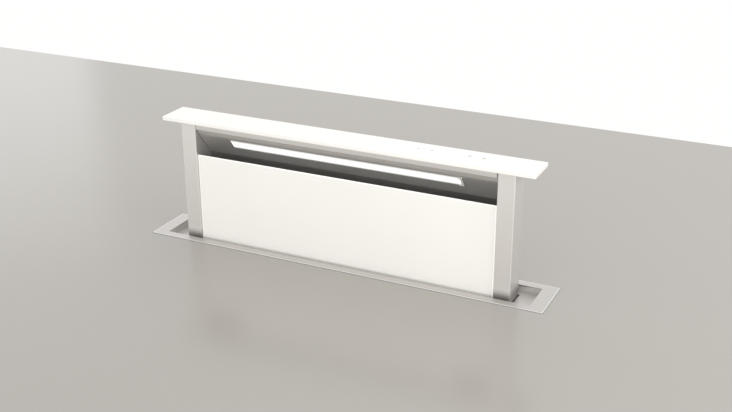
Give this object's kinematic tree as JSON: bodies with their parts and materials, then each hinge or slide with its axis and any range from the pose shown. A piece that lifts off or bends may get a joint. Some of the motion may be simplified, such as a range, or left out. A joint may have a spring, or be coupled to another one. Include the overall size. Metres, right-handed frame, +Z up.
{
  "type": "downdraft vent",
  "caption": "Worktop downdraft vent: a glass-fronted intake with a light strip rises out of a flush steel flange above a housing with a rack lift drive and a centrifugal blower.",
  "frame": {"origin": "middle of the worktop's cut-out, on the worktop's top surface", "axes": "+Z up out of the worktop, +X along the vent with the outlet at its right end, -Y towards the cook"},
  "size_m": [0.93, 0.3239, 0.9195],
  "materials": {
    "white_glass": "back-painted white, glossy",
    "stainless": "fine brushed stainless",
    "galvanised": "galvanised sheet",
    "zinc_steel": "zinc plated",
    "lens": "opal light diffuser",
    "circuit_board": "solder-masked board",
    "rubber": "matt black rubber",
    "filter_aluminium": "mill finish",
    "filter_mesh": "expanded mesh",
    "latch_plastic": "moulded",
    "gear_nylon": "natural nylon",
    "black_plastic": "moulded",
    "gear_case": "die cast",
    "motor_can": "black enamel",
    "fan_plastic": "glass-filled nylon",
    "fan_case": "moulded",
    "damper_aluminium": "thin sheet",
    "grey_plastic": "moulded"
  },
  "bodies": {
    "housing": {"flange_frame": "stainless", "housing_front_wall": "galvanised", "housing_back_wall": "galvanised", "housing_left_wall": "galvanised", "housing_right_wall": "galvanised", "housing_base": "galvanised", "left_guide_rail": "galvanised", "right_guide_rail": "galvanised", "bearing_blocks": "black_plastic", "gearbox": "gear_case", "lift_motor": "motor_can", "floor_brackets": "galvanised", "worktop_clamps": "zinc_steel", "volute": "fan_case", "fan_motor": "motor_can", "blower_box": "galvanised", "blower_cover": "galvanised", "outlet_collar": "black_plastic", "control_box": "grey_plastic", "control_lid": "grey_plastic", "cable_gland": "black_plastic", "levelling_feet": "rubber"},
    "carriage": {"cap_glass": "white_glass", "cap_tray": "stainless", "touch_board": "circuit_board", "cap_bumpers": "rubber", "top_rail": "stainless", "sloped_panel": "stainless", "light_end_plates": "stainless", "led_lens": "lens", "light_end_cap": "lens", "led_board": "circuit_board", "left_column": "stainless", "right_column": "stainless", "back_panel": "stainless", "filter_trough": "stainless", "lower_crossmember": "galvanised", "hook_studs": "zinc_steel", "roller_studs": "zinc_steel", "left_filter_frame": "filter_aluminium", "right_filter_frame": "filter_aluminium", "left_filter_mesh": "filter_mesh", "right_filter_mesh": "filter_mesh", "left_rack": "gear_nylon", "right_rack": "gear_nylon"},
    "front_panel": {"front_glass": "white_glass", "glass_hooks": "zinc_steel"},
    "left_latch": {"left_filter_latch": "latch_plastic"},
    "right_latch": {"right_filter_latch": "latch_plastic"},
    "left_upper_wheel": {"left_upper_roller": "gear_nylon"},
    "left_lower_wheel": {"left_lower_roller": "gear_nylon"},
    "right_upper_wheel": {"right_upper_roller": "gear_nylon"},
    "right_lower_wheel": {"right_lower_roller": "gear_nylon"},
    "drive": {"cross_shaft": "zinc_steel", "left_pinion": "gear_nylon", "right_pinion": "gear_nylon"},
    "fan": {"impeller": "fan_plastic", "fan_shaft": "zinc_steel"},
    "front_flap": {"front_damper_flap": "damper_aluminium"},
    "rear_flap": {"rear_damper_flap": "damper_aluminium"}
  },
  "joints": [
    {"name": "lift", "type": "slide", "parent": "housing", "child": "carriage", "axis": [0, 0, 1], "range_m": [-0.268, 0]},
    {"name": "drive_turn", "type": "hinge", "parent": "housing", "child": "drive", "pos_m": [0, 0.033, -0.294], "axis": [1, 0, 0], "range_deg": [0, 1366]},
    {"name": "front_panel_lift", "type": "slide", "parent": "carriage", "child": "front_panel", "axis": [0, 0, 1], "range_m": [0, 0.012]},
    {"name": "left_latch_pull", "type": "slide", "parent": "carriage", "child": "left_latch", "axis": [1, 0, 0], "range_m": [0, 0.0055], "stiffness_N_per_m": 150, "springref_m": -0.004},
    {"name": "right_latch_pull", "type": "slide", "parent": "carriage", "child": "right_latch", "axis": [-1, 0, 0], "range_m": [0, 0.0055], "stiffness_N_per_m": 150, "springref_m": -0.004},
    {"name": "left_upper_wheel_turn", "type": "hinge", "parent": "carriage", "child": "left_upper_wheel", "pos_m": [-0.3928, -0.009, -0.06], "axis": [1, 0, 0], "continuous": true},
    {"name": "left_lower_wheel_turn", "type": "hinge", "parent": "carriage", "child": "left_lower_wheel", "pos_m": [-0.3928, -0.009, -0.286], "axis": [1, 0, 0], "continuous": true},
    {"name": "right_upper_wheel_turn", "type": "hinge", "parent": "carriage", "child": "right_upper_wheel", "pos_m": [0.3928, -0.009, -0.06], "axis": [1, 0, 0], "continuous": true},
    {"name": "right_lower_wheel_turn", "type": "hinge", "parent": "carriage", "child": "right_lower_wheel", "pos_m": [0.3928, -0.009, -0.286], "axis": [1, 0, 0], "continuous": true},
    {"name": "fan_turn", "type": "hinge", "parent": "housing", "child": "fan", "pos_m": [0, -0.134, -0.49995], "axis": [0, 1, 0], "continuous": true},
    {"name": "front_flap_swing", "type": "hinge", "parent": "housing", "child": "front_flap", "pos_m": [0.19, -0.13525, -0.40456], "axis": [0, 0, 1], "range_deg": [0, 75], "stiffness_Nm_per_rad": 0.02, "springref_deg": -11.46},
    {"name": "rear_flap_swing", "type": "hinge", "parent": "housing", "child": "rear_flap", "pos_m": [0.19, -0.13525, -0.40456], "axis": [0, 0, -1], "range_deg": [0, 75], "stiffness_Nm_per_rad": 0.02, "springref_deg": -11.46}
  ],
  "couplings": [
    {"joint": "drive_turn", "follows": "lift", "rad_per_m": -88.889},
    {"joint": "left_upper_wheel_turn", "follows": "lift", "rad_per_m": 100},
    {"joint": "left_lower_wheel_turn", "follows": "lift", "rad_per_m": -100},
    {"joint": "right_upper_wheel_turn", "follows": "lift", "rad_per_m": 100},
    {"joint": "right_lower_wheel_turn", "follows": "lift", "rad_per_m": -100}
  ]
}
